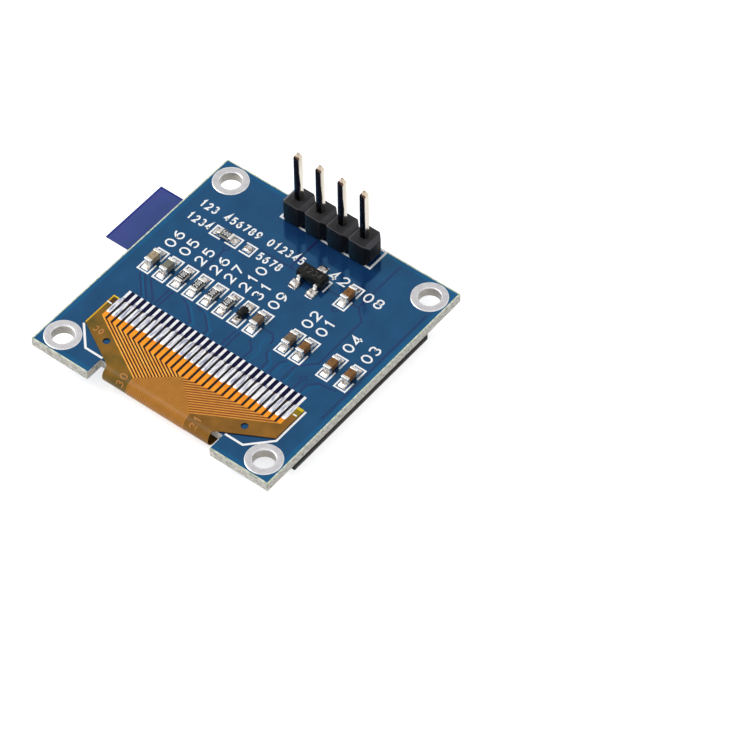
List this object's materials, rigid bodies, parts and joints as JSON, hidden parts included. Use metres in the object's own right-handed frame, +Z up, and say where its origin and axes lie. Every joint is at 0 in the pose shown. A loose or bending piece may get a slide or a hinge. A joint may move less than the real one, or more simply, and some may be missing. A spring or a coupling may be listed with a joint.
{
  "type": "small oled module",
  "caption": "Small graphic display module: blue circuit board over a glass display panel, with a folded flexible cable, chip parts and a straight pin header.",
  "frame": {"origin": "centre of the circuit board and of its mounting-hole pattern, on the board face that carries the parts", "axes": "+X along the pin header, +Y towards the header edge of the board, +Z up along the pins; the display looks along -Z"},
  "size_m": [0.0316, 0.0278, 0.0111],
  "materials": {
    "solder_mask": "blue solder mask over glass-fibre laminate",
    "tinned_copper": "tinned copper, satin",
    "solder": "bright solder",
    "pin_metal": "tin-plated brass",
    "header_plastic": "moulded black plastic",
    "moulded_epoxy": "moulded black epoxy",
    "lead_metal": "tinned lead frame",
    "chip_end_metal": "tinned chip termination",
    "ceramic_tan": "fired ceramic, tan",
    "ceramic_grey": "fired ceramic, grey",
    "ceramic_brown": "fired ceramic, brown",
    "ceramic_orange": "fired ceramic, orange brown",
    "resistor_ceramic": "black glaze on white ceramic",
    "display_glass": "black-backed display glass",
    "polarizer_film": "dark polarizing sheet",
    "protective_film": "blue-violet peel-off film",
    "tape": "double-sided tape",
    "silicon": "polished silicon",
    "polyimide": "amber polyimide",
    "copper_trace": "copper under amber cover layer"
  },
  "bodies": {
    "root": {"pcb": "solder_mask", "header_hole_plating": "tinned_copper", "header_housing": "header_plastic", "header_solder": "solder", "adhesive_tape": "tape", "rear_glass": "display_glass", "front_glass": "display_glass", "polarizer": "polarizer_film", "driver_chip": "silicon", "protective_film": "protective_film", "flex_cable": "polyimide", "flex_traces": "copper_trace", "flex_contacts": "tinned_copper", "flex_solder_joints": "solder", "component_pads": "tinned_copper", "component_solder": "solder", "diode_body": "moulded_epoxy", "diode_leads": "lead_metal", "regulator_body": "moulded_epoxy", "regulator_leads": "lead_metal", "mounting_hole_ring_1": "tinned_copper", "header_pin_1": "pin_metal", "mounting_hole_ring_2": "tinned_copper", "header_pin_2": "pin_metal", "mounting_hole_ring_3": "tinned_copper", "header_pin_3": "pin_metal", "mounting_hole_ring_4": "tinned_copper", "header_pin_4": "pin_metal", "capacitor_1_body": "ceramic_tan", "capacitor_1_ends": "chip_end_metal", "capacitor_2_body": "ceramic_grey", "capacitor_2_ends": "chip_end_metal", "capacitor_3_body": "ceramic_brown", "capacitor_3_ends": "chip_end_metal", "capacitor_4_body": "ceramic_brown", "capacitor_4_ends": "chip_end_metal", "capacitor_5_body": "ceramic_orange", "capacitor_5_ends": "chip_end_metal", "capacitor_6_body": "ceramic_orange", "capacitor_6_ends": "chip_end_metal", "capacitor_7_body": "ceramic_orange", "capacitor_7_ends": "chip_end_metal", "capacitor_8_body": "ceramic_orange", "capacitor_8_ends": "chip_end_metal", "resistor_1_body": "resistor_ceramic", "resistor_1_ends": "chip_end_metal", "resistor_2_body": "resistor_ceramic", "resistor_2_ends": "chip_end_metal", "resistor_3_body": "resistor_ceramic", "resistor_3_ends": "chip_end_metal", "resistor_4_body": "resistor_ceramic", "resistor_4_ends": "chip_end_metal", "resistor_5_body": "resistor_ceramic", "resistor_5_ends": "chip_end_metal"}
  },
  "joints": []
}
